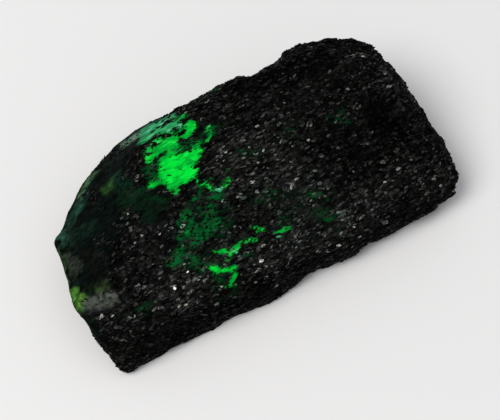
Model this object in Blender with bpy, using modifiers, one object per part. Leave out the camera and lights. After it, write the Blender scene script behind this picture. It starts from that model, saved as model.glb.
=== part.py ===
# A raw emerald crystal grown together with black mica schist, modelled as the one solid piece that it is.
# It lies with its long axis along X, on a flat cleavage face at Z = 0. The grain of the schist runs along X.

import math

import bmesh
import bpy
from mathutils import Matrix, Vector, noise

MM = 0.001

# Overall size of the finished piece, in millimetres.
LENGTH = 53.5
WIDTH = 27.7
HEIGHT = 14.7

# Corners of the broken block, in millimetres, ring by ring, anticlockwise seen from above.
BASE_CORNERS = [
    (-23.4, -13.2, 0.0),
    (-4.0, -12.9, 0.0),
    (12.0, -13.0, 0.0),
    (20.5, -12.5, 0.0),
    (24.6, -8.6, 0.0),
    (24.2, 2.0, 0.0),
    (20.0, 7.6, 0.0),
    (9.0, 9.8, 0.0),
    (-8.0, 9.8, 0.0),
    (-17.0, 6.8, 0.0),
    (-23.0, 0.8, 0.0),
    (-25.0, -6.5, 0.0),
]
RIM_CORNERS = [
    (-24.9, -13.4, 1.3),
    (4.0, -13.2, 1.2),
    (19.4, -13.5, 1.5),
    (25.1, -14.6, 3.2),
    (26.3, -12.6, 5.0),
    (26.6, -8.2, 7.0),
    (26.4, -2.2, 8.6),
    (25.0, 3.0, 11.0),
    (24.4, 7.5, 12.1),
    (22.0, 9.6, 12.0),
    (16.4, 12.6, 11.4),
    (7.0, 12.9, 10.0),
    (-6.0, 13.4, 8.8),
    (-11.0, 12.8, 8.1),
    (-17.4, 10.9, 7.3),
    (-20.8, 8.2, 6.6),
    (-24.5, 5.2, 6.0),
    (-26.6, -4.4, 6.0),
    (-26.1, -10.6, 3.2),
]
SHOULDER_CORNERS = [
    (-23.8, -11.9, 6.4),
    (-12.0, -12.5, 7.9),
    (2.0, -12.6, 8.4),
    (18.0, -12.6, 8.2),
    (23.6, -10.2, 8.4),
    (24.3, -1.0, 11.4),
    (23.0, 5.2, 13.2),
    (14.0, 9.2, 13.5),
    (0.0, 9.6, 12.9),
    (-9.5, 8.2, 12.4),
    (-17.0, 1.2, 11.8),
    (-22.4, -4.6, 9.6),
]
CREST_CORNERS = [
    (-12.0, -4.0, 12.9),
    (2.0, -1.0, 14.0),
    (18.0, 2.0, 14.3),
]

# Chips broken out of the block: centre and size in millimetres, and turns about X, Y and Z in degrees.
CHIPS = {
    "back_edge_bite": ((10.6, 13.2, 11.0), (6.0, 3.2, 9.0), (30, 0, 3)),
    "back_edge_notch": ((8.1, 12.8, 11.0), (1.3, 3.2, 8.0), (30, 0, 32)),
    "left_end_ledge": ((-25.4, -9.9, 6.3), (7.6, 8.0, 2.6), (30, -23, -30)),
    "left_corner_step": ((-27.3, -12.4, 3.4), (3.0, 4.2, 3.4), (0, 0, -28)),
    "right_end_scar": ((28.3, -5.8, 6.0), (3.0, 3.8, 7.0), (0, 0, 16)),
    "right_corner_step": ((24.6, -15.0, 7.8), (7.0, 3.0, 4.0), (24, 0, 22)),
    "under_front_step": ((6.0, -14.6, 0.4), (16.0, 2.4, 1.6), (-20, 0, 3)),
    "back_face_scar": ((-2.0, 14.6, 3.2), (15.0, 4.2, 4.6), (-18, 0, -5)),
    "right_face_scar": ((27.2, 4.6, 4.0), (4.4, 7.0, 5.0), (0, 14, -8)),
}

# Shallow dents pressed in the surface: centre, radius and depth in millimetres.
DENTS = [
    ((14.5, 3.4, 14.2), 4.2, 0.50),
    ((19.7, -3.6, 11.6), 3.4, 0.75),
    ((-20.0, -1.0, 10.6), 3.6, 0.40),
    ((-16.0, -9.5, 9.2), 4.0, 0.45),
    ((4.0, 9.8, 12.8), 3.4, 0.40),
    ((-9.0, 11.0, 4.0), 4.5, 0.50),
    ((15.0, 10.0, 5.0), 4.5, 0.60),
]

# The smooth crystal face at the back left: a line in plan with the crystal on its left side, how far the
# change to schist is spread on each side of it, and how much of the schist's relief the crystal lacks.
CRYSTAL_LINE_START = Vector((-25.5, -8.0, 0.0))
CRYSTAL_LINE_END = Vector((-4.0, 13.5, 0.0))
CRYSTAL_EDGE = 2.4
CRYSTAL_SMOOTHNESS = 0.8

# Relief of the schist: sizes and heights in millimetres, and how much longer its flakes are along the grain.
LUMP_SIZE = 7.0
LUMP_HEIGHT = 0.55
FLAKE_SIZE = 1.5
FLAKE_HEIGHT = 0.30
FLAKE_SLOPE = 0.34
GRAIN_STRETCH = 2.2
GRIT_SIZE = 0.9
GRIT_HEIGHT = 0.12

# Ledges where layers of mica end, in millimetres. The layers tilt from level by an angle in degrees.
# The rise and drop of a ledge are shares of the way across it, and its wander is in whole ledges.
FOLIATION_TILT = 52.0
LEDGE_SPACING = 2.9
LEDGE_HEIGHT = 0.30
LEDGE_LENGTH = 9.0
LEDGE_THICKNESS = 4.0
LEDGE_RISE = 0.7
LEDGE_DROP = 0.82
LEDGE_WANDER = 1.6

# Places in the noise that keep one pattern from repeating another.
LEDGE_PATCHES = Vector((31.0, 17.0, 5.0))
FLAKE_SLOPES = Vector((3.0, 11.0, 23.0))
FLAKE_HEIGHTS = Vector((9.0, 4.0, 7.0))
FLAKE_SHUFFLE = 5.0
NOISE_SEED = 7  # for the flakes' slopes, which would otherwise differ in each run

VOXEL = 0.5
TRIANGLES = 11600
SKIN = 2.0
SMOOTH_EDGE_ANGLE = 38

STONE_COLOUR = (0.022, 0.026, 0.024, 1.0)
STONE_ROUGHNESS = 0.55


def clear_scene():
    for old in list(bpy.data.objects):
        bpy.data.objects.remove(old, do_unlink=True)


def new_collection(name):
    collection = bpy.data.collections.new(name)
    bpy.context.scene.collection.children.link(collection)
    return collection


def stone_material():
    material = bpy.data.materials.new("black schist with emerald")
    material.use_nodes = True
    surface = material.node_tree.nodes["Principled BSDF"]
    surface.inputs["Base Color"].default_value = STONE_COLOUR
    surface.inputs["Roughness"].default_value = STONE_ROUGHNESS
    surface.inputs["Metallic"].default_value = 0.0
    return material


def smooth_step(low, high, value):
    share = min(1.0, max(0.0, (value - low) / (high - low)))
    return share * share * (3 - 2 * share)


def broken_block(collection):
    """The convex block that its fracture faces bound. Its base goes one skin deep, to be trimmed flat last."""
    shape = bmesh.new()
    for x, y, z in BASE_CORNERS:
        shape.verts.new((x * MM, y * MM, (z - SKIN) * MM))
    for x, y, z in RIM_CORNERS + SHOULDER_CORNERS + CREST_CORNERS:
        shape.verts.new((x * MM, y * MM, z * MM))
    hull = bmesh.ops.convex_hull(shape, input=shape.verts)
    inside = [part for part in hull["geom_interior"] if isinstance(part, bmesh.types.BMVert)]
    bmesh.ops.delete(shape, geom=inside, context="VERTS")
    bmesh.ops.recalc_face_normals(shape, faces=shape.faces)
    mesh = bpy.data.meshes.new("broken block")
    shape.to_mesh(mesh)
    shape.free()
    block = bpy.data.objects.new("broken_block", mesh)
    block.hide_render = True
    collection.objects.link(block)
    return block


def box_cutter(name, centre, size, turns, collection):
    shape = bmesh.new()
    bmesh.ops.create_cube(shape, size=1.0)
    bmesh.ops.scale(shape, vec=Vector(size) * MM, verts=shape.verts)
    mesh = bpy.data.meshes.new(name)
    shape.to_mesh(mesh)
    shape.free()
    cutter = bpy.data.objects.new(name, mesh)
    cutter.location = Vector(centre) * MM
    cutter.rotation_euler = [math.radians(turn) for turn in turns]
    cutter.hide_render = True
    cutter.display_type = "WIRE"
    collection.objects.link(cutter)
    return cutter


def break_chips(block, collection):
    for name, (centre, size, turns) in CHIPS.items():
        cut = block.modifiers.new(name, "BOOLEAN")
        cut.operation = "DIFFERENCE"
        cut.object = box_cutter(name, centre, size, turns, collection)


def even_grid(block):
    """Turns the block into an even mesh of small quads, which the relief can shape."""
    grid = block.modifiers.new("even grid", "REMESH")
    grid.mode = "VOXEL"
    grid.voxel_size = VOXEL * MM


def evaluated_mesh(source):
    bpy.context.view_layer.update()
    graph = bpy.context.evaluated_depsgraph_get()
    return bpy.data.meshes.new_from_object(source.evaluated_get(graph))


def crystal_share(point):
    """1 on the smooth crystal face, 0 on the schist."""
    along = (CRYSTAL_LINE_END - CRYSTAL_LINE_START).normalized()
    leftward = Vector((-along.y, along.x, 0.0))
    return smooth_step(-CRYSTAL_EDGE, CRYSTAL_EDGE, (point - CRYSTAL_LINE_START).dot(leftward))


def ledge_relief(point):
    """Steps where the layers of mica end, one after another across the foliation, each for a short way."""
    tilt = math.radians(FOLIATION_TILT)
    depth = point.y * math.sin(tilt) + point.z * math.cos(tilt)
    place = Vector((point.x / LEDGE_LENGTH, point.y / LEDGE_LENGTH, depth / LEDGE_THICKNESS))
    step = (depth / LEDGE_SPACING + LEDGE_WANDER * noise.noise(place)) % 1.0
    profile = smooth_step(0.0, LEDGE_RISE, step) - smooth_step(LEDGE_DROP, 1.0, step)
    strength = smooth_step(-0.15, 0.45, noise.noise(point / LEDGE_LENGTH + LEDGE_PATCHES))
    return strength * LEDGE_HEIGHT * (profile - 0.5)


def flake_relief(point):
    """Flat mica flakes, longer along the grain. Each one has a height and a slope of its own."""
    grained = Vector((point.x / GRAIN_STRETCH, point.y, point.z)) / FLAKE_SIZE
    seed = noise.voronoi(grained)[1][0]
    slope = noise.noise_vector(seed * FLAKE_SHUFFLE + FLAKE_SLOPES)
    height = noise.noise(seed * FLAKE_SHUFFLE + FLAKE_HEIGHTS)
    return FLAKE_HEIGHT * height + FLAKE_SLOPE * (grained - seed).dot(slope)


def relief(point):
    """How far the surface stands out at a point, in millimetres."""
    schist = 1 - CRYSTAL_SMOOTHNESS * crystal_share(point)
    grit = GRIT_HEIGHT * noise.noise(point / GRIT_SIZE)
    height = LUMP_HEIGHT * noise.fractal(point / LUMP_SIZE, 1.0, 2.0, 2)
    height += schist * (flake_relief(point) + ledge_relief(point) + grit)
    for centre, radius, depth in DENTS:
        distance = (point - Vector(centre)).length
        height -= depth * smooth_step(0.0, 1.0, 1 - distance / radius)
    return height


def weather(mesh):
    """Moves each point of the mesh in or out along its normal by the relief."""
    normals = [vertex.normal.copy() for vertex in mesh.vertices]
    for vertex, normal in zip(mesh.vertices, normals):
        vertex.co += normal * relief(vertex.co / MM) * MM


def trim_base(stone, collection):
    """Splits the stone along the cleavage plane that it rests on."""
    thickness = 3 * SKIN
    size = (2 * LENGTH, 2 * WIDTH, thickness)
    cut = stone.modifiers.new("cleavage plane", "BOOLEAN")
    cut.operation = "DIFFERENCE"
    cut.object = box_cutter("cleavage_plane", (0, 0, -thickness / 2), size, (0, 0, 0), collection)


def thin_out(stone):
    """Drops triangles where the surface is nearly flat, and keeps them along the ridges."""
    stone.data.calc_loop_triangles()
    fewer = stone.modifiers.new("fewer triangles", "DECIMATE")
    fewer.decimate_type = "COLLAPSE"
    fewer.ratio = TRIANGLES / len(stone.data.loop_triangles)


def fit_to_size(mesh):
    """Centres the finished mesh over the origin, base at Z = 0, at its overall size."""
    low = Vector([min(vertex.co[axis] for vertex in mesh.vertices) for axis in range(3)])
    high = Vector([max(vertex.co[axis] for vertex in mesh.vertices) for axis in range(3)])
    middle = (low + high) / 2
    size = high - low
    scale = Matrix.Diagonal((LENGTH * MM / size.x, WIDTH * MM / size.y, HEIGHT * MM / size.z, 1.0))
    mesh.transform(scale @ Matrix.Translation((-middle.x, -middle.y, -low.z)))


def build():
    clear_scene()
    noise.seed_set(NOISE_SEED)
    parts = new_collection("raw emerald crystal")
    cutters = new_collection("cutters")
    block = broken_block(cutters)
    break_chips(block, cutters)
    even_grid(block)
    rough = bpy.data.objects.new("weathered_block", evaluated_mesh(block))
    rough.hide_render = True
    cutters.objects.link(rough)
    weather(rough.data)
    thin_out(rough)
    trim_base(rough, cutters)
    finished = evaluated_mesh(rough)
    fit_to_size(finished)
    finished.name = "raw emerald"
    finished.materials.clear()
    finished.materials.append(stone_material())
    finished.shade_smooth()
    finished.set_sharp_from_angle(angle=math.radians(SMOOTH_EDGE_ANGLE))
    stone = bpy.data.objects.new("raw_emerald", finished)
    parts.objects.link(stone)


build()
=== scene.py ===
import math

import bmesh
import bpy
import numpy as np
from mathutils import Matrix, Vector, noise
from mathutils.bvhtree import BVHTree


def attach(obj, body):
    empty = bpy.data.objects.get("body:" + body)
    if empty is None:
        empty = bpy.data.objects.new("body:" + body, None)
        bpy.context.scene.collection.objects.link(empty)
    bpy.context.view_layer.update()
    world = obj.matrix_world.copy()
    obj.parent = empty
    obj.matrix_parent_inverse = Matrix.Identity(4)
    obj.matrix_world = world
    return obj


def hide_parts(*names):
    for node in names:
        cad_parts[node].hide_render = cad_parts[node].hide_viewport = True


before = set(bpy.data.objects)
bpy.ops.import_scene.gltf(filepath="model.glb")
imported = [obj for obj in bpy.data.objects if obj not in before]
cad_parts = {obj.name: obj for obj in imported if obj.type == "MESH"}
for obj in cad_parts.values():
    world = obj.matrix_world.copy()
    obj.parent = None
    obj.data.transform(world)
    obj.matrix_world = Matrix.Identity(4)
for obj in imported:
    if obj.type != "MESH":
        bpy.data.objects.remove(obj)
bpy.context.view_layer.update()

# A rough emerald grown together with black mica schist, lying on a pale table.
# Places and sizes are in millimetres in the frame of the solid, with the grain of the schist along X.
mm = 0.001


# Camera and studio

photoView = {
    "picture": (500, 420),  # pixels
    "target": (-0.5, -3.0, 6.0),
    "azimuth": -31.0,  # degrees
    "elevation": 60.0,
    "distance": 230.0,
    "lens": 127.5,
    "sensor": 36.0,
    "clip": (0.005, 20.0),  # metres
}


def viewAxes():  # to the right, up, and back towards the camera
    azimuth, elevation = math.radians(photoView["azimuth"]), math.radians(photoView["elevation"])
    back = Vector((
        math.sin(azimuth) * math.cos(elevation),
        -math.cos(azimuth) * math.cos(elevation),
        math.sin(elevation),
    ))
    turn = back.to_track_quat("Z", "Y")
    return turn @ Vector((1, 0, 0)), turn @ Vector((0, 1, 0)), back


def makeCamera():
    back = viewAxes()[2]
    lens = bpy.data.cameras.new("photoCamera")
    lens.lens = photoView["lens"]
    lens.sensor_width = photoView["sensor"]
    lens.clip_start, lens.clip_end = photoView["clip"]
    camera = bpy.data.objects.new("photoCamera", lens)
    camera.location = (Vector(photoView["target"]) + back * photoView["distance"]) * mm
    camera.rotation_mode = "QUATERNION"
    camera.rotation_quaternion = back.to_track_quat("Z", "Y")
    bpy.context.scene.collection.objects.link(camera)
    bpy.context.scene.camera = camera


def placeInPhoto(skin, pixel):  # the point of the stone that the photo shows at this pixel
    right, up, back = viewAxes()
    width, height = photoView["picture"]
    focal = photoView["lens"] / photoView["sensor"] * width
    ray = right * (pixel[0] - width / 2) / focal + up * (height / 2 - pixel[1]) / focal - back
    eye = (Vector(photoView["target"]) + back * photoView["distance"]) * mm
    hit = skin.ray_cast(eye, ray.normalized())[0]
    return None if hit is None else np.array(hit) / mm


studio = {
    "tableColour": (0.80, 0.795, 0.79),
    "tableRoughness": 0.75,
    "tableSize": 3000.0,
    "skyColour": (0.96, 0.97, 1.0),
    "skyStrength": 0.52,
    "windowDirection": (-1.0, 0.0, 1.55),
    "windowDistance": 900.0,
    "windowSize": 620.0,
    "windowPower": 6.0,
    "windowColour": (1.0, 0.985, 0.965),
}


def makeLight(name, direction, distance, size, power, colour):
    data = bpy.data.lights.new(name, "AREA")
    data.shape = "DISK"
    data.size = size * mm
    data.energy = power
    data.color = colour
    light = bpy.data.objects.new(name, data)
    way = Vector(direction).normalized()
    light.location = way * distance * mm
    light.rotation_mode = "QUATERNION"
    light.rotation_quaternion = way.to_track_quat("Z", "Y")
    bpy.context.scene.collection.objects.link(light)


def makeStudio():
    shape = bmesh.new()
    bmesh.ops.create_grid(shape, x_segments=1, y_segments=1, size=studio["tableSize"] * mm / 2)
    mesh = bpy.data.meshes.new("table")
    shape.to_mesh(mesh)
    shape.free()
    table = addObject("table", mesh)
    material, tree, shader = newMaterial("paleTable")
    shader.inputs["Base Color"].default_value = plain(studio["tableColour"])
    shader.inputs["Roughness"].default_value = studio["tableRoughness"]
    mesh.materials.append(material)

    makeLight("window", studio["windowDirection"], studio["windowDistance"], studio["windowSize"],
              studio["windowPower"], studio["windowColour"])
    world = bpy.data.worlds.new("paleRoom")
    world.use_nodes = True
    sky = world.node_tree.nodes["Background"]
    sky.inputs["Color"].default_value = plain(studio["skyColour"])
    sky.inputs["Strength"].default_value = studio["skyStrength"]
    bpy.context.scene.world = world
    bpy.context.scene.view_settings.view_transform = "Standard"


# Small helpers

def addObject(name, mesh):
    made = bpy.data.objects.new(name, mesh)
    bpy.context.scene.collection.objects.link(made)
    return made


def seen(red, green, blue):  # a colour as it looks on a screen, 0 to 255, as the shader's own values
    return tuple(((level / 255 + 0.055) / 1.055) ** 2.4 if level > 10 else level / 255 / 12.92
                 for level in (red, green, blue))


def plain(colour):
    return (*colour, 1.0)


def newMaterial(name):
    material = bpy.data.materials.new(name)
    material.use_nodes = True
    shader = material.node_tree.nodes["Principled BSDF"]
    return material, material.node_tree, shader


def smoothStep(low, high, value):
    share = np.clip((value - low) / (high - low), 0.0, 1.0)
    return share * share * (3 - 2 * share)


def readPlaces(mesh):
    flat = np.empty(len(mesh.vertices) * 3, np.float32)
    mesh.vertices.foreach_get("co", flat)
    return flat.reshape(-1, 3).astype(float) / mm


def writePlaces(mesh, places):
    mesh.vertices.foreach_set("co", (places * mm).astype(np.float32).ravel())
    mesh.update()


def readNormals(mesh):
    flat = np.empty(len(mesh.vertices) * 3, np.float32)
    mesh.vertex_normals.foreach_get("vector", flat)
    return flat.reshape(-1, 3).astype(float)


def writePaint(mesh, name, values):  # one number or one colour for each point of the mesh
    kind, field = ("FLOAT", "value") if values.ndim == 1 else ("FLOAT_VECTOR", "vector")
    attribute = mesh.attributes.new(name, kind, "POINT")
    attribute.data.foreach_set(field, values.astype(np.float32).ravel())


# What is painted where. A stroke is a line of pixels in the photo's 500 x 420 frame, laid on the stone
# from the camera, or a line of places in millimetres on a side that the photo doesn't show.
# With it go its half width in millimetres and its strength. A glow's stroke has its paleness last, from
# 0 for the deep green to 1 for the milky blue-green. A patch of the face has its colour before its
# strength.

# The glow is painted light: the emerald's green as if lit from within, shown as emission and as a brighter
# base colour.
glowStrokes = {
    "heartTop": ([(172, 163), (193, 156)], 1.15, 0.90, 0.0),
    "heartLeft": ([(165, 160), (164, 178)], 0.80, 0.75, 0.0),
    "heart": ([(172, 176), (190, 169)], 1.35, 1.05, 0.0),
    "heartFoot": ([(172, 186), (184, 180)], 0.90, 0.76, 0.0),
    "heartTip": ([(175, 193)], 0.42, 0.6, 0.0),
    "heartCorner": ([(196, 153), (201, 149)], 0.50, 0.8, 0.0),
    "heartShoulder": ([(166, 153), (178, 147)], 0.60, 0.42, 0.0),
    "heartRight": ([(194, 147), (199, 144)], 0.40, 0.35, 0.0),
    "leftFoot": ([(151, 185), (163, 179)], 0.50, 0.50, 0.0),
    "footShade": ([(153, 176), (159, 171)], 0.45, 0.22, 0.0),
    "upperBand": ([(149, 158), (160, 148), (174, 140), (186, 132), (192, 125)], 0.82, 0.76, 0.05),
    "bandLeft": ([(148, 149), (158, 142), (170, 135)], 0.55, 0.78, 0.25),
    "tealBand": ([(143, 140), (158, 131), (173, 124)], 0.85, 0.62, 0.6),
    "tealRim": ([(144, 134), (158, 124), (172, 117)], 0.95, 0.50, 0.8),
    "tealEdge": ([(144, 130), (158, 121), (172, 114)], 0.80, 0.45, 0.8),
    "tealTop": ([(176, 119), (182, 117)], 0.55, 0.48, 0.2),
    "tealStreak": ([(168, 130), (182, 124)], 0.26, 0.90, 0.9),
    "tealFleck": ([(155, 130), (161, 127)], 0.20, 0.75, 0.9),
    "tail": ([(195, 180), (199, 185), (206, 183), (213, 191)], 0.26, 0.75, 0.0),
    "tailUpper": ([(205, 180), (211, 178)], 0.20, 0.8, 0.15),
    "tailEnd": ([(216, 190), (219, 189)], 0.24, 0.85, 1.0),
    "branch": ([(222, 185), (226, 181), (230, 179)], 0.36, 0.62, 0.05),
    "branchTop": ([(226, 171), (230, 169)], 0.16, 0.55, 0.4),
    "besideBand": ([(206, 127), (209, 126)], 0.22, 0.85, 0.35),
    "besideBandLow": ([(208, 131), (210, 137), (208, 141)], 0.42, 0.34, 0.1),
    "hook": ([(250, 230), (257, 227), (263, 229), (256, 233)], 0.24, 0.8, 0.0),
    "streak": ([(235, 248), (243, 242), (257, 239)], 0.23, 0.75, 0.0),
    "fork": ([(215, 251), (231, 252), (237, 250)], 0.26, 0.68, 0.0),
    "forkLeg": ([(230, 254), (228, 259)], 0.27, 0.6, 0.0),
    "forkEnd": ([(234, 251), (237, 252)], 0.20, 0.9, 1.0),
    "starLeft": ([(213, 268), (217, 271)], 0.46, 0.75, 0.0),
    "starRight": ([(222, 271), (234, 267)], 0.34, 0.75, 0.0),
    "starLeg": ([(237, 275), (233, 280), (230, 285)], 0.36, 0.7, 0.0),
    "starFoot": ([(225, 287)], 0.30, 0.35, 0.0),
    "rightDash": ([(275, 233), (282, 231), (290, 227)], 0.24, 0.55, 0.1),
    "rightDashEnd": ([(277, 237), (281, 236)], 0.24, 0.75, 1.0),
    "belowSpot": ([(187, 231)], 0.35, 0.30, 0.1),
    "backScar": ([(-6.0, 13.0, 4.4), (-2.4, 13.0, 5.0)], 0.95, 0.6, 0.0),
    "backScarLow": ([(-1.5, 13.0, 3.2), (1.2, 13.0, 3.0)], 0.45, 0.5, 0.0),
}
glowHoles = {  # schist that covers the glow
    "gap": ([(181, 141), (187, 143)], 0.52, 0.95),
    "bandHole": ([(163, 137), (169, 134)], 0.26, 0.9),
    "bandHoleRight": ([(178, 135), (184, 131)], 0.20, 0.85),
    "bandHoleLeft": ([(151, 147), (156, 143)], 0.16, 0.85),
    "bandUnder": ([(156, 157), (166, 151)], 0.22, 0.7),
    "tealHole": ([(163, 122), (166, 119)], 0.20, 0.6),
    "notch": ([(194, 167), (199, 165)], 0.26, 0.9),
    "heartFleck": ([(188, 161), (191, 160)], 0.12, 0.7),
    "footGap": ([(152, 180), (157, 178)], 0.22, 0.6),
}
hazeStrokes = {
    "besideHeart": ([(148, 168), (159, 173)], 1.2, 0.35),
    "aboveHeart": ([(158, 154), (190, 143), (208, 136)], 1.0, 0.50),
    "belowHeart": ([(206, 198), (198, 214), (190, 240), (186, 256)], 2.1, 0.56),
    "belowWide": ([(216, 205), (222, 235), (214, 262), (228, 290)], 2.2, 0.22),
    "middleWide": ([(258, 198), (298, 204), (338, 222)], 1.8, 0.20),
    "crestWide": ([(282, 128), (300, 136)], 1.3, 0.18),
    "belowPatch": ([(192, 223), (208, 225)], 0.9, 1.1),
    "belowDash": ([(211, 237), (217, 235)], 0.40, 0.70),
    "belowFleck": ([(222, 228), (230, 226)], 0.45, 0.40),
    "besideTail": ([(205, 197), (210, 201)], 0.6, 0.55),
    "leftOfHeart": ([(140, 195), (160, 200)], 1.2, 0.22),
    "middleSpot": ([(266, 194), (274, 197)], 0.75, 0.45),
    "middleFleck": ([(250, 192)], 0.5, 0.35),
    "rightCloud": ([(303, 193), (312, 196), (321, 201)], 1.0, 0.36),
    "rightCloudLow": ([(324, 214), (331, 220)], 0.9, 0.38),
    "dashAbove": ([(281, 223), (288, 221)], 0.45, 0.45),
    "rightFleck": ([(311, 209), (317, 208)], 0.35, 0.4),
    "hookFleck": ([(250, 254), (256, 252)], 0.4, 0.5),
    "starCloud": ([(211, 266), (222, 276), (233, 284)], 1.3, 0.30),
    "lowCloud": ([(192, 274), (201, 270)], 0.7, 0.40),
    "lowLeft": ([(126, 318), (150, 310)], 1.1, 0.20),
    "crestFleck": ([(232, 150), (240, 155)], 0.5, 0.38),
    "crestCloud": ([(249, 151), (259, 155)], 0.7, 0.35),
    "upperRight": ([(330, 112), (350, 121)], 1.2, 0.24),
    "upperFleck": ([(285, 124), (292, 128)], 0.6, 0.30),
    "besideBand": ([(210, 128), (222, 124)], 0.7, 0.40),
    "backRim": ([(200, 98), (209, 93)], 0.40, 0.8),
    "backCloud": ([(3.0, 13.0, 7.4), (6.8, 12.6, 6.0)], 2.0, 0.45),
    "rightCloudSide": ([(26.5, -3.4, 5.4), (26.5, 0.4, 4.2)], 1.5, 0.45),
}
facePatches = {
    "darkFace": ([(112, 220), (100, 245), (88, 262)], 2.6, seen(5, 12, 10), 0.7),
    "darkHollow": ([(88, 258), (98, 280)], 1.3, seen(8, 10, 7), 0.75),
    "middleFace": ([(126, 196), (148, 204), (150, 212)], 1.6, seen(7, 26, 14), 0.65),
    "upperFace": ([(104, 166), (118, 154)], 1.4, seen(8, 20, 13), 0.6),
    "greenPatch": ([(115, 177), (124, 181)], 0.9, seen(8, 38, 25), 0.7),
    "tealEdge": ([(85, 196), (77, 209), (70, 223), (64, 232)], 1.0, seen(18, 43, 33), 0.7),
    "tealSpot": ([(79, 207), (78, 211)], 0.5, seen(30, 70, 55), 0.6),
    "tealPoint": ([(58, 237), (64, 240)], 0.75, seen(38, 76, 61), 0.7),
    "tealFace": ([(72, 240), (88, 228)], 1.3, seen(13, 29, 22), 0.6),
    "paleRim": ([(94, 173), (86, 184), (80, 195)], 0.45, seen(58, 90, 62), 0.8),
    "oliveSpot": ([(104, 191), (112, 186)], 0.70, seen(34, 64, 28), 0.75),
    "oliveFleck": ([(122, 213)], 0.5, seen(27, 32, 16), 0.5),
    # the pale back corner is partly the emerald's blue-green and partly painted sheen
    "backCorner": ([(124, 145), (131, 140), (141, 134)], 0.80, seen(84, 112, 92), 0.9),
    "leftRim": ([(59, 250), (63, 270), (69, 288)], 0.45, seen(44, 64, 38), 0.65),
    # painted sheen on the left edge, which faces the light
    "paleSheenSpot": ([(69, 258), (75, 268)], 0.70, seen(44, 49, 42), 0.6),
    "oliveCorner": ([(73, 293), (79, 300), (78, 307)], 0.90, seen(62, 104, 38), 0.85),
    "oliveLow": ([(97, 290), (110, 283)], 0.60, seen(36, 52, 24), 0.65),
    # the grey facet faces the light: partly its own grey, partly painted light; under its ledge lies a
    # painted shadow
    "greyLitFacet": ([(89, 307), (101, 302), (113, 298)], 0.80, seen(64, 68, 62), 1.0),
    "facetFootShadow": ([(86, 315), (104, 311)], 0.45, seen(12, 12, 14), 0.8),
}
crystalPatches = {
    "middleFace": ([(124, 196), (148, 204), (152, 216)], 1.9, 1.0),
    "hollow": ([(88, 255), (98, 282)], 1.6, 1.0),
    "facet": ([(89, 307), (101, 302), (112, 299)], 0.9, 1.0),
    "backCorner": ([(126, 143), (141, 134)], 1.2, 1.0),
}
schistPatches = {
    "upper": ([(137, 157), (133, 178)], 1.5, 1.0),
    "upperRim": ([(101, 163), (124, 147)], 1.3, 0.75),
    "leftFleck": ([(86, 191), (96, 197)], 0.8, 0.7),
    "middle": ([(110, 243), (124, 232), (160, 240)], 2.0, 1.0),
    "fleck": ([(103, 207)], 0.7, 0.8),
}
# Lighter areas of the schist. The belt along the crest is partly denser bright flakes and partly painted
# light, and lowerEdge is painted light along the lower rim where the top face reaches it; the others are
# simply lighter.
lighterAndLitPatches = {
    "belt": ([(165, 292), (220, 266), (300, 232), (365, 208), (434, 174)], 1.8, 1.2),
    "lowerEdge": ([(262, 264), (305, 244), (345, 228)], 1.5, 1.6),
    "middle": ([(244, 156), (268, 160), (305, 196)], 3.4, 0.95),
    "upperMiddle": ([(288, 130), (300, 138)], 1.6, 0.5),
    "rightEdge": ([(428, 112), (447, 160), (450, 190)], 1.2, 0.3),
    "topRight": ([(355, 62), (385, 80)], 2.2, 0.3),
    "lowLeft": ([(112, 315), (145, 345)], 2.4, 0.30),
    "islandMiddle": ([(138, 232), (160, 232)], 2.0, 0.25),
}
# Darker areas of the schist. The pit and the foot of the front face have painted shade; the others are
# simply darker.
darkerAndShadedPatches = {
    "pit": ([(375, 115), (395, 132)], 2.0, 0.65),
    "rightLow": ([(405, 195), (428, 180)], 1.6, 0.45),
    "backEdge": ([(230, 90), (262, 75), (320, 58)], 2.3, 0.6),
    "topEdge": ([(225, 88), (275, 52), (300, 42), (368, 43)], 1.2, 0.5),
    "frontFoot": ([(150, 352), (200, 325), (262, 294)], 1.4, 0.55),
    "islandLeft": ([(112, 232), (116, 258)], 1.6, 0.4),
    "lowLeftEdge": ([(120, 345), (150, 340)], 1.5, 0.4),
    "besidePit": ([(330, 145), (372, 152)], 2.6, 0.4),
}
strokeEdges = {
    "glow": 0.5,
    "hole": 0.35,
    "haze": 1.8,
    "face": 1.35,
    "crystal": 1.3,
    "light": 5.0,
    "dark": 2.4,
}
ragged = {
    "sizes": (1.9, 0.6),  # of the wide and of the fine drift, in millimetres
    "longer": 2.0,  # how much longer the drift is along the grain
    "glow": (0.08, 0.16),  # how far the wide and the fine drift push each kind of stroke, in millimetres
    "haze": (0.75, 0.30),
    "face": (0.45, 0.30),
    "crystal": (0.75, 0.30),
}


def raggedDrift(places):  # the wide and the fine drift, which give what is painted its ragged edges
    drifts = []
    for size in ragged["sizes"]:
        stretched = places / (size * np.array([ragged["longer"], 1.0, 1.0]))
        drifts.append(np.array([noise.noise_vector(Vector(place)) for place in stretched]))
    return np.array(drifts) * (ragged["longer"], 1.0, 1.0)


def strokePoints(skin, points):
    if len(points[0]) == 2:
        found = [placeInPhoto(skin, pixel) for pixel in points]
    else:
        found = [np.array(skin.find_nearest(Vector(point) * mm)[0]) / mm for point in points]
    return [point for point in found if point is not None]


def strokeDistance(places, points):
    nearest = np.full(len(places), np.inf)
    for start, end in zip(points, points[1:] or points):
        along = end - start
        share = np.clip((places - start) @ along / max(along @ along, 1e-9), 0.0, 1.0)
        away = places - start - share[:, None] * along
        nearest = np.minimum(nearest, np.linalg.norm(away, axis=1))
    return nearest


def strokeCover(places, skin, points, halfWidth, edge):  # 1 on the stroke, 0 off it, a half at its rim
    distance = strokeDistance(places, strokePoints(skin, points))
    return smoothStep(-edge / 2, edge / 2, halfWidth - distance)


def paintSum(places, skin, strokes, edge):  # the strongest stroke at each place
    best = np.zeros(len(places))
    for points, halfWidth, strength in strokes.values():
        best = np.maximum(best, strength * strokeCover(places, skin, points, halfWidth, edge))
    return best


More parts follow.
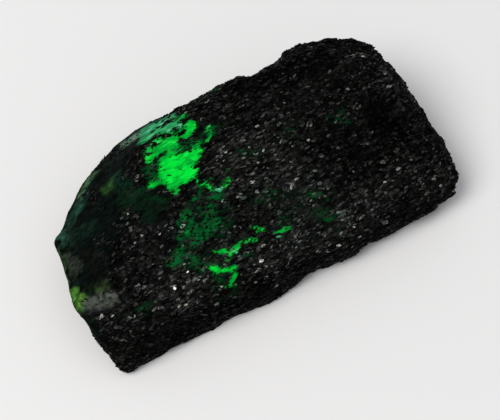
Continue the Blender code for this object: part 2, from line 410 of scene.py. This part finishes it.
def paintGlow(places, skin):  # how much of the glow shows, how bright it is there, and how pale
    cover, level, pale, weight = (np.full(len(places), start) for start in (0.0, 0.0, 0.0, 1e-12))
    for points, halfWidth, strength, paleness in glowStrokes.values():
        inside = halfWidth - strokeDistance(places, strokePoints(skin, points))
        cover = np.maximum(cover, smoothStep(-strokeEdges["glow"], strokeEdges["glow"], inside))
        level = np.maximum(level, strength * smoothStep(-1.0, 0.8, inside / halfWidth))
        pull = np.exp(np.clip(inside / 0.2, -24.0, 4.0))
        pale += pull * paleness
        weight += pull
    return cover * (1 - paintSum(places, skin, glowHoles, strokeEdges["hole"])), level, pale / weight


def paintFace(places, skin):  # the emerald's tints, one painted over the other, and how thick they lie
    tint, thickness = np.zeros((len(places), 3)), np.zeros(len(places))
    for points, halfWidth, colour, strength in facePatches.values():
        share = strength * strokeCover(places, skin, points, halfWidth, strokeEdges["face"])
        tint += share[:, None] * (np.array(colour) - tint)
        thickness += share * (1 - thickness)
    return tint / np.maximum(thickness, 1e-6)[:, None], thickness


# The emerald's own face: a line in plan with the crystal on its left side.
crystalFace = {
    "start": (-25.5, -6.5, 0.0),
    "end": (-5.5, 13.5, 0.0),
    "edge": 1.3,
    "wander": 2.0,
    "wanderSize": 3.4,
}


def paintCrystal(places, skin):  # 1 on emerald, 0 on schist
    start, end = np.array(crystalFace["start"]), np.array(crystalFace["end"])
    along = (end - start) / np.linalg.norm(end - start)
    distance = (places - start) @ np.array([-along[1], along[0], 0.0])
    wander = np.array([noise.noise(Vector(place) / crystalFace["wanderSize"]) for place in places])
    share = smoothStep(-crystalFace["edge"], crystalFace["edge"], distance + crystalFace["wander"] * wander)
    share = np.maximum(share, paintSum(places, skin, crystalPatches, strokeEdges["crystal"]))
    return share * (1 - paintSum(places, skin, schistPatches, strokeEdges["crystal"]))


schistShade = {
    "dark": 0.54,
    "light": 1.38,
    "mottleSize": 5.0,
    "mottle": 0.38,
    "frontShade": 0.15,  # painted shade: how much darker the foot of the front face is, which turns away from the light
    "frontFacing": (0.45, 0.85),
    "frontFoot": (6.5, 3.5),
}


def paintShade(places, normals, skin):  # broad lighter and darker areas of the schist, partly its own tone and partly painted light and shade
    light = paintSum(places, skin, lighterAndLitPatches, strokeEdges["light"])
    dark = paintSum(places, skin, darkerAndShadedPatches, strokeEdges["dark"])
    # painted shade on the foot of the front face, where it turns away from the light
    frontShade = smoothStep(*schistShade["frontFacing"], -normals[:, 1])
    frontShade *= smoothStep(*schistShade["frontFoot"], places[:, 2])
    mottle = np.array([noise.noise(Vector(place) / schistShade["mottleSize"]) for place in places])
    shade = schistShade["dark"] + (schistShade["light"] - schistShade["dark"]) * light
    return shade * (1 - dark) * (1 - schistShade["frontShade"] * frontShade) * (1 + schistShade["mottle"] * mottle)


# The stone's mesh

stone = {
    "seed": 7,  # of the noise in the drifts and the leaning plates
    "fineGrid": 0.20,
    "weld": 0.001,
    "smoothing": 3,
    "baseDepth": 0.09,  # what is lower than this is the flat cleavage face underneath
    "flakeLong": 2.1,  # how much longer than wide the flakes of the schist are
    "plateSize": 0.85,
    "plateHeight": 0.13,
    "plateSlope": 0.14,
    "flakeSize": 0.42,
    "flakeHeight": 0.08,
    "flakeSlope": 0.08,
    "gritSize": 0.30,
    "gritHeight": 0.035,
    "pitSize": 1.3,
    "pitCut": 0.3,  # the noise has to be above this to sink a pit
    "pitDepth": 0.30,
    "crystalGrain": 0.12,  # how much of the schist's relief the emerald has
    "rippleSize": 2.6,
    "rippleHeight": 0.05,
    "sharpAngle": 40,  # degrees
}


def fineCopy(solid):
    mesh = solid.data.copy()
    shape = bmesh.new()
    shape.from_mesh(mesh)
    bmesh.ops.remove_doubles(shape, verts=shape.verts, dist=stone["weld"] * mm)
    shape.to_mesh(mesh)
    shape.free()
    rough = addObject("roughStone", mesh)
    grid = rough.modifiers.new("fine grid", "REMESH")
    grid.mode = "VOXEL"
    grid.voxel_size = stone["fineGrid"] * mm
    bpy.context.view_layer.update()
    graph = bpy.context.evaluated_depsgraph_get()
    fine = bpy.data.meshes.new_from_object(rough.evaluated_get(graph))
    rough.modifiers.clear()
    rough.data = fine
    return rough, BVHTree.FromObject(solid, graph)


def smoothed(mesh, places, rounds, held):
    edges = np.empty(len(mesh.edges) * 2, np.int64)
    mesh.edges.foreach_get("vertices", edges)
    one, two = edges.reshape(-1, 2).T
    neighbours = np.bincount(edges, minlength=len(places)).reshape(-1, 1)
    for _ in range(rounds):
        total = np.zeros_like(places)
        for axis in range(3):
            total[:, axis] += np.bincount(one, places[two, axis], len(places))
            total[:, axis] += np.bincount(two, places[one, axis], len(places))
        places = np.where(held, places, (places + total / neighbours) / 2)
    return places


def plateRelief(place, size, height, slope):
    grained = Vector((place.x / stone["flakeLong"], place.y, place.z)) / size
    seed = noise.voronoi(grained)[1][0]
    lean = noise.noise_vector(seed * 5.0)
    return height * noise.noise(seed * 7.0) + slope * (grained - seed).dot(lean)


def schistRelief(place):
    plates = plateRelief(place, stone["plateSize"], stone["plateHeight"], stone["plateSlope"])
    flakes = plateRelief(place, stone["flakeSize"], stone["flakeHeight"], stone["flakeSlope"])
    grit = stone["gritHeight"] * noise.noise(place / stone["gritSize"])
    pit = max(0.0, noise.noise(place / stone["pitSize"]) - stone["pitCut"])
    return plates + flakes + grit - stone["pitDepth"] * pit


def crystalRelief(place):
    return stone["rippleHeight"] * noise.noise(place / stone["rippleSize"])


def makeStone():
    noise.seed_set(stone["seed"])
    rough, skin = fineCopy(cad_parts["raw_emerald"])
    mesh = rough.data
    places = readPlaces(mesh)
    base = places[:, 2] < stone["baseDepth"]
    places[base, 2] = 0.0
    places = smoothed(mesh, places, stone["smoothing"], base.reshape(-1, 1))
    writePlaces(mesh, places)
    normals = readNormals(mesh)

    print("paint")
    wide, fine = raggedDrift(places)
    pushed = {kind: places + ragged[kind][0] * wide + ragged[kind][1] * fine
              for kind in ("glow", "haze", "face", "crystal")}
    glow, glowLevel, glowPale = paintGlow(pushed["glow"], skin)
    tint, tintShare = paintFace(pushed["face"], skin)
    paint = {
        "crystal": paintCrystal(pushed["crystal"], skin),
        "shade": paintShade(places, normals, skin),
        "haze": paintSum(pushed["haze"], skin, hazeStrokes, strokeEdges["haze"]),
        "glow": glow,
        "glowLevel": glowLevel,
        "glowPale": glowPale,
        "tint": tint,
        "tintShare": tintShare,
    }
    for name, values in paint.items():
        writePaint(mesh, name, values)

    print("relief")
    heights = np.zeros(len(places))
    for index, place in enumerate(places):
        if not base[index]:
            here = Vector(place)
            schist = 1 - (1 - stone["crystalGrain"]) * paint["crystal"][index]
            heights[index] = crystalRelief(here) + schist * schistRelief(here)
    places = places + normals * heights.reshape(-1, 1)
    places[:, 2] = np.maximum(places[:, 2], 0.0)
    writePlaces(mesh, places)
    mesh.shade_smooth()
    mesh.set_sharp_from_angle(angle=math.radians(stone["sharpAngle"]))
    return rough, normals, paint


def thinBase(mesh):  # the flat base needs no fine grid
    shape = bmesh.new()
    shape.from_mesh(mesh)
    flat = [face for face in shape.faces if all(vertex.co.z < 1e-7 for vertex in face.verts)]
    edges = {edge for face in flat for edge in face.edges}
    verts = {vertex for face in flat for vertex in face.verts}
    bmesh.ops.dissolve_limit(shape, angle_limit=0.01, verts=list(verts), edges=list(edges))
    shape.to_mesh(mesh)
    shape.free()


# The loose-edged flakes of mica that stand in the surface

micaFlakes = {
    "count": 17000,
    "length": (0.40, 1.18),
    "slender": (0.34, 0.54),  # width as a share of the length
    # The brighter tones, above all the near-white showy ones, are partly the flakes' own pale colour and
    # partly painted glints.
    "tones": [(0.0, 0.0020), (0.40, 0.0060), (0.70, 0.0145), (0.90, 0.036), (0.97, 0.074), (1.0, 0.14)],
    "showyShare": 0.06,  # the large ones, of which a few are nearly white
    "showyLength": (0.50, 1.10),
    "showySlender": (0.38, 0.64),
    "showyTones": [(0.0, 0.018), (0.50, 0.064), (0.80, 0.17), (0.93, 0.38), (1.0, 0.76)],
    "darkSize": 0.35,  # how far up the range of lengths the darkest can come, as the brighter are larger
    "lift": (0.0, 0.09),
    "depth": 0.20,
    "corners": 5,
    "cornerDrift": 0.3,  # as a share of the way to the next corner
    "cornerReach": (0.75, 1.0),
    "turn": 14.0,  # degrees from the grain
    "tilt": 13.0,
    "lowest": 0.5,  # none has its middle lower than this
    "offTable": 0.02,
    "seed": 11,
    "onCrystal": 0.03,  # how many lie on the emerald and in the glow, as shares of those on the schist
    "onGlow": 0.05,
    "hazeAsGlow": 0.55,  # how much of a glow the haze is to the flakes: it thins them out and tints them
    "crystalEdge": (0.3, 0.7),
    "greenest": (0.10, 1.0, 0.36),
    "sheen": (0.3, 1.1),
    "roughness": (0.32, 0.57),
    "shine": 0.02,
}


def makeFlakes(rough, normals, paint):
    draw = np.random.default_rng(micaFlakes["seed"])
    mesh = rough.data
    mesh.calc_loop_triangles()
    corners = np.empty(len(mesh.loop_triangles) * 3, np.int64)
    mesh.loop_triangles.foreach_get("vertices", corners)
    corners = corners.reshape(-1, 3)
    places = readPlaces(mesh)
    one, two, three = (places[corners[:, k]] for k in range(3))
    area = np.linalg.norm(np.cross(two - one, three - one), axis=1) / 2
    first = corners[:, 0]
    chance = area * (places[first, 2] > micaFlakes["lowest"])
    crystal = smoothStep(*micaFlakes["crystalEdge"], paint["crystal"][first])
    chance *= 1 - (1 - micaFlakes["onCrystal"]) * crystal
    green = np.maximum(paint["glow"], paint["haze"] * micaFlakes["hazeAsGlow"])[first]
    chance *= 1 - (1 - micaFlakes["onGlow"]) * green
    count = micaFlakes["count"]
    picked = draw.choice(len(area), count, p=chance / chance.sum())
    share = draw.random((count, 2))
    flip = share.sum(1) > 1
    share[flip] = 1 - share[flip]
    centre = one[picked] + share[:, :1] * (two - one)[picked] + share[:, 1:] * (three - one)[picked]

    tone = draw.random(count)
    tilt = math.tan(math.radians(micaFlakes["tilt"]))
    normal = normals[first[picked]] + draw.normal(0.0, tilt, (count, 3))
    normal /= np.linalg.norm(normal, axis=1, keepdims=True)
    grain = np.tile([1.0, 0.0, 0.0], (count, 1))
    grain[np.abs(normal[:, 0]) > 0.9] = (0.0, 1.0, 0.0)
    longWay = grain - normal * (grain * normal).sum(1, keepdims=True)
    longWay /= np.linalg.norm(longWay, axis=1, keepdims=True)
    sideWay = np.cross(normal, longWay)
    turn = np.radians(draw.normal(0.0, micaFlakes["turn"], count))[:, None]
    longWay, sideWay = (longWay * np.cos(turn) + sideWay * np.sin(turn),
                        sideWay * np.cos(turn) - longWay * np.sin(turn))
    showy = draw.random(count) < micaFlakes["showyShare"]
    dark = micaFlakes["darkSize"]
    size = (dark + (1 - dark) * tone ** 2) * draw.random(count)
    length = micaFlakes["length"][0] + size * (micaFlakes["length"][1] - micaFlakes["length"][0])
    length = np.where(showy, draw.uniform(*micaFlakes["showyLength"], count), length)
    width = length * np.where(showy, draw.uniform(*micaFlakes["showySlender"], count),
                              draw.uniform(*micaFlakes["slender"], count))
    lift = draw.uniform(*micaFlakes["lift"], count)

    sides, drift = micaFlakes["corners"], micaFlakes["cornerDrift"]
    points = np.empty((count, sides + 1, 3))
    for corner in range(sides):
        angle = 2 * math.pi * (corner + draw.uniform(-drift, drift, count)) / sides
        reach = draw.uniform(*micaFlakes["cornerReach"], count)
        points[:, corner] = (centre + normal * lift[:, None]
                             + longWay * (np.cos(angle) * reach * length / 2)[:, None]
                             + sideWay * (np.sin(angle) * reach * width / 2)[:, None])
    points[:, sides] = centre - normal * micaFlakes["depth"]
    points[:, :, 2] = np.maximum(points[:, :, 2], micaFlakes["offTable"])

    start = np.arange(count).reshape(-1, 1) * (sides + 1)
    faces = [list(row) for row in start + np.arange(sides)]
    for corner in range(sides):
        after = (corner + 1) % sides
        faces += [list(row) for row in np.hstack([start + after, start + corner, start + sides])]
    flakeMesh = bpy.data.meshes.new("micaFlakes")
    flakeMesh.from_pydata((points.reshape(-1, 3) * mm).tolist(), [], faces)
    # each flake takes the tone of the schist under it, with its painted light and shade
    tone = np.where(showy, np.interp(tone, *zip(*micaFlakes["showyTones"])),
                    np.interp(tone, *zip(*micaFlakes["tones"]))) * paint["shade"][first[picked]]
    writePaint(flakeMesh, "tone", np.repeat(tone, sides + 1))
    writePaint(flakeMesh, "tint", np.repeat(draw.random(count), sides + 1))
    writePaint(flakeMesh, "green", np.repeat(green[picked], sides + 1))
    flakeMesh.update()
    return addObject("micaFlakes", flakeMesh)


# Materials

class Link:  # one output of a node tree, so that shader maths reads as expressions
    def __init__(self, tree, socket=None):
        self.tree = tree
        self.socket = socket

    def node(self, kind, settings=None, values=None, output=0):
        made = self.tree.nodes.new(kind)
        for name, setting in (settings or {}).items():
            if name == "stops":
                setStops(made.color_ramp, setting)
            else:
                setattr(made, name, setting)
        for name, value in (values or {}).items():
            if isinstance(value, Link):
                self.tree.links.new(value.socket, made.inputs[name])
            else:
                made.inputs[name].default_value = value
        return Link(self.tree, made.outputs[output])

    def maths(self, operation, *values):
        return self.node("ShaderNodeMath", {"operation": operation}, dict(enumerate(values)))

    def __add__(self, other):
        return self.maths("ADD", self, other)

    def __radd__(self, other):
        return self.maths("ADD", other, self)

    def __sub__(self, other):
        return self.maths("SUBTRACT", self, other)

    def __rsub__(self, other):
        return self.maths("SUBTRACT", other, self)

    def __mul__(self, other):
        return self.maths("MULTIPLY", self, other)

    def __rmul__(self, other):
        return self.maths("MULTIPLY", other, self)

    def rise(self, low, high):  # 0 below low, 1 above high, smooth between
        values = {"Value": self, "From Min": low, "From Max": high, "To Min": 0.0, "To Max": 1.0}
        return self.node("ShaderNodeMapRange", {"interpolation_type": "SMOOTHSTEP"}, values)

    def spread(self, low, high):  # low where this is 0, high where it is 1
        return self * (high - low) + low

    def swing(self, width):  # a value around a half, as one around zero
        return (self - 0.5) * width

    def vector(self, operation, *values, output=0):
        return self.node("ShaderNodeVectorMath", {"operation": operation}, dict(enumerate(values)), output)

    def part(self, name):  # one channel of a colour
        return self.node("ShaderNodeSeparateColor", None, {"Color": self}, name)

    def mixed(self, share, other):  # this colour, turning into the other as share goes to 1
        return blend(share, self, other)

    def scaled(self, strength):
        return self.node("ShaderNodeVectorMath", {"operation": "SCALE"}, {0: self, "Scale": strength})

    def toned(self, stops):  # a grey that follows the stops
        return self.node("ShaderNodeValToRGB", {"stops": stops}, {"Fac": self})


def setStops(ramp, stops):
    while len(ramp.elements) < len(stops):
        ramp.elements.new(1.0)
    for element, (place, value) in zip(ramp.elements, stops):
        element.position = place
        element.color = (value, value, value, 1.0)


def feed(tree, shader, name, value):
    tree.links.new(value.socket, shader.inputs[name])


def placeInMillimetres(tree):
    return Link(tree).node("ShaderNodeTexCoord", output="Object").scaled(1 / mm)


def painted(tree, name, output="Fac"):  # what was painted on the points of the mesh
    return Link(tree).node("ShaderNodeAttribute", {"attribute_name": name}, output=output)


def grained(place, size, longer):
    return place.vector("MULTIPLY", place, (1 / (size * longer), 1 / size, 1 / size))


def cells(place):  # the random colour and the middle of the flake-shaped cell that a place is in
    kind = {"voronoi_dimensions": "3D", "feature": "F1"}
    colour = place.node("ShaderNodeTexVoronoi", kind, {"Vector": place, "Scale": 1.0}, "Color")
    return colour, Link(place.tree, colour.socket.node.outputs["Position"])


cloudKinds = {  # size in millimetres, how much longer along the grain, and detail
    "fine": (0.40, 3.0, 3.0),
    "wide": (1.5, 1.8, 2.0),
    "bump": (0.16, 2.0, 2.0),
    "sheen": (0.22, 2.0, 2.0),
}


def clouds(place, kind):
    size, longer, detail = cloudKinds[kind]
    values = {"Vector": grained(place, 1.0, longer), "Scale": 1 / size, "Detail": detail}
    return place.node("ShaderNodeTexNoise", {"noise_dimensions": "3D"}, values)


def blend(share, one, other):  # from the first colour to the other as share goes from 0 to 1
    ends = [end if isinstance(end, Link) else plain(end) for end in (one, other)]
    return share.node("ShaderNodeMix", {"data_type": "RGBA"}, {0: share, 6: ends[0], 7: ends[1]}, 2)


schistLook = {
    "cellSize": 0.34,
    "cellLong": 2.0,
    "speckSize": 0.62,
    "speckLong": 2.0,
    "tones": [(0.0, 0.0008), (0.30, 0.0020), (0.55, 0.0052), (0.75, 0.013), (0.90, 0.029), (1.0, 0.068)],
    "warm": (1.0, 0.99, 0.84),
    "cool": (0.86, 0.98, 0.95),
    "speckShare": 0.35,  # of the tone, which for the rest is the cell's
    "jag": (0.45, 0.55),  # how far the cells and the specks push an edge
    "roughness": 0.50,
    "roughnessSwing": 0.3,
    "shine": 0.004,
    "glintTilt": 0.65,
    "bumpGrain": 0.4,
    "bumpDepth": 0.1,
    "bumpStrength": 0.8,
}
edgeJag = {"crystal": 0.5, "tint": 0.25, "haze": 0.7, "glow": 0.95}
rises = {  # where each share begins to rise from 0, and where it reaches 1
    "fineClouds": (0.3, 0.7),
    "crystal": (0.25, 0.75),
    "body": (0.36, 0.66),
    "tint": (0.10, 0.85),
    "hazeClouds": (0.36, 0.64),
    "haze": (0.15, 0.85),
    "hazeEdge": (0.0, 0.2),
    "hazeLight": (0.1, 0.8),
    "brightFlakes": (0.5, 0.85),
    "glow": (0.40, 0.74),
    "middle": (0.05, 0.6),
    "bright": (0.5, 1.1),
    "pale": (0.0, 1.0),
}
emeraldLook = {
    "deep": seen(3, 6, 5),
    "body": seen(8, 19, 13),
    "bodyMottle": (0.35, 1.65),
    "tintMottle": (0.4, 1.6),
    "tintSwing": 0.7,
    "hazeMottle": (0.4, 1.5),
    "hazeStrength": 1.6,
    "hazeOnFlakes": (1.0, 0.3),  # on dark and on bright flakes
    "levelSwing": (0.8, 1.5),  # of the glow's brightness, with the wide and with the fine clouds
    "paleSwing": 0.8,
    "glint": 0.15,  # how much of the schist's tilted glints the emerald has
    "haze": seen(4, 38, 17),
    "hazeLight": seen(8, 88, 37),
    "glowDim": seen(3, 52, 19),
    "glowMiddle": seen(3, 134, 38),
    "glowBright": seen(2, 194, 49),
    "paleDim": seen(20, 74, 48),
    "paleMiddle": seen(42, 124, 84),
    "paleBright": seen(104, 178, 142),
    "glowStrength": 0.42,
    "roughness": 0.42,
    "coat": 0.03,
    "coatRoughness": 0.25,
}


def stoneMaterial():
    material, tree, shader = newMaterial("schistWithEmerald")
    place = placeInMillimetres(tree)

    # black mica schist: long cells, each with a tone and a tilt of its own
    cellPlace = grained(place, schistLook["cellSize"], schistLook["cellLong"])
    cellColour, cellMiddle = cells(cellPlace)
    speckColour, _ = cells(grained(place, schistLook["speckSize"], schistLook["speckLong"]))
    speckShare = schistLook["speckShare"]
    tone = cellColour.part("Red") * (1 - speckShare) + speckColour.part("Green") * speckShare
    # the painted shade attribute adds the broad lighter and darker areas, with their painted light and
    # shade
    schist = tone.toned(schistLook["tones"]).scaled(painted(tree, "shade"))
    hue = blend(speckColour.part("Blue"), schistLook["warm"], schistLook["cool"])
    schist = place.vector("MULTIPLY", schist, hue)

    # edges between schist and emerald break up along the flakes
    cellJag, speckJag = schistLook["jag"]
    jag = cellColour.part("Blue").swing(cellJag) + speckColour.part("Red").swing(speckJag)
    fineClouds, wideClouds = clouds(place, "fine"), clouds(place, "wide")

    # the emerald's own face
    fineShare = fineClouds.rise(*rises["fineClouds"])
    crystal = (painted(tree, "crystal") + jag * edgeJag["crystal"]).rise(*rises["crystal"])
    body = blend(wideClouds.rise(*rises["body"]), emeraldLook["deep"], emeraldLook["body"])
    colour = schist.mixed(crystal, body.scaled(fineShare.spread(*emeraldLook["bodyMottle"])))
    tintShare = painted(tree, "tintShare") + wideClouds.swing(emeraldLook["tintSwing"])
    tintShare = (tintShare + jag * edgeJag["tint"]).rise(*rises["tint"])
    tint = painted(tree, "tint", "Color").scaled(fineShare.spread(*emeraldLook["tintMottle"]))
    colour = colour.mixed(tintShare, tint)

    # green in the schist shows between the flakes
    mottle = wideClouds.rise(*rises["hazeClouds"]).spread(*emeraldLook["hazeMottle"])
    haze = painted(tree, "haze") * mottle
    hazeShare = (haze * emeraldLook["hazeStrength"] + jag * edgeJag["haze"]).rise(*rises["haze"])
    hazeShare = hazeShare * haze.rise(*rises["hazeEdge"])
    hazeShare = hazeShare * tone.rise(*rises["brightFlakes"]).spread(*emeraldLook["hazeOnFlakes"])
    hazeColour = blend(haze.rise(*rises["hazeLight"]), emeraldLook["haze"], emeraldLook["hazeLight"])
    colour = colour.mixed(hazeShare, hazeColour)

    # painted light: windows of clear green, milky at the back, glowing as if lit from within, in the base
    # colour and as emission
    glow = (painted(tree, "glow") + jag * edgeJag["glow"]).rise(*rises["glow"])
    wideSwing, fineSwing = emeraldLook["levelSwing"]
    level = painted(tree, "glowLevel") + wideClouds.swing(wideSwing) + fineClouds.swing(fineSwing)
    middle, bright = level.rise(*rises["middle"]), level.rise(*rises["bright"])
    clear = blend(middle, emeraldLook["glowDim"], emeraldLook["glowMiddle"])
    clear = clear.mixed(bright, emeraldLook["glowBright"])
    milky = blend(middle, emeraldLook["paleDim"], emeraldLook["paleMiddle"])
    milky = milky.mixed(bright, emeraldLook["paleBright"])
    pale = painted(tree, "glowPale") + fineClouds.swing(emeraldLook["paleSwing"])
    glowColour = clear.mixed(pale.rise(*rises["pale"]), milky)
    feed(tree, shader, "Base Color", colour.mixed(glow, glowColour))
    feed(tree, shader, "Emission Color", blend(glow, (0, 0, 0), glowColour))
    shader.inputs["Emission Strength"].default_value = emeraldLook["glowStrength"]

    roughness = crystal.spread(schistLook["roughness"], emeraldLook["roughness"])
    roughness = roughness + cellColour.part("Green").swing(schistLook["roughnessSwing"])
    feed(tree, shader, "Roughness", roughness)
    feed(tree, shader, "Coat Weight", crystal * emeraldLook["coat"])
    shader.inputs["Coat Roughness"].default_value = emeraldLook["coatRoughness"]
    shader.inputs["Specular IOR Level"].default_value = schistLook["shine"]

    offset = place.vector("SUBTRACT", cellPlace, cellMiddle)
    lean = place.vector("SUBTRACT", cellColour, (0.5, 0.5, 0.5))
    tilted = place.vector("DOT_PRODUCT", offset, lean, output="Value")
    height = tilted * crystal.spread(1.0, emeraldLook["glint"]) * schistLook["glintTilt"]
    height = height + clouds(place, "bump") * schistLook["bumpGrain"]
    depth, strength = schistLook["bumpDepth"] * mm, schistLook["bumpStrength"]
    values = {"Height": height, "Distance": depth, "Strength": strength}
    feed(tree, shader, "Normal", place.node("ShaderNodeBump", None, values))
    return material


def flakeMaterial():
    material, tree, shader = newMaterial("micaFlake")
    place = placeInMillimetres(tree)
    tint = painted(tree, "tint")
    sheen = clouds(place, "sheen").rise(*rises["fineClouds"]).spread(*micaFlakes["sheen"])
    hue = blend(tint, schistLook["warm"], schistLook["cool"])
    hue = hue.mixed(painted(tree, "green"), micaFlakes["greenest"])
    feed(tree, shader, "Base Color", hue.scaled(painted(tree, "tone") * sheen))
    feed(tree, shader, "Roughness", tint.spread(*micaFlakes["roughness"]))
    shader.inputs["Specular IOR Level"].default_value = micaFlakes["shine"]
    return material


print("camera and studio")
makeCamera()
makeStudio()
print("stone")
rough, normals, paint = makeStone()
print("mica flakes")
flakes = makeFlakes(rough, normals, paint)
thinBase(rough.data)
print("materials")
for piece, material in ((rough, stoneMaterial()), (flakes, flakeMaterial())):
    piece.data.materials.clear()
    piece.data.materials.append(material)
    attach(piece, "root")
    piece.data.calc_loop_triangles()
    print(piece.name, len(piece.data.loop_triangles), "triangles")
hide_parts("raw_emerald")
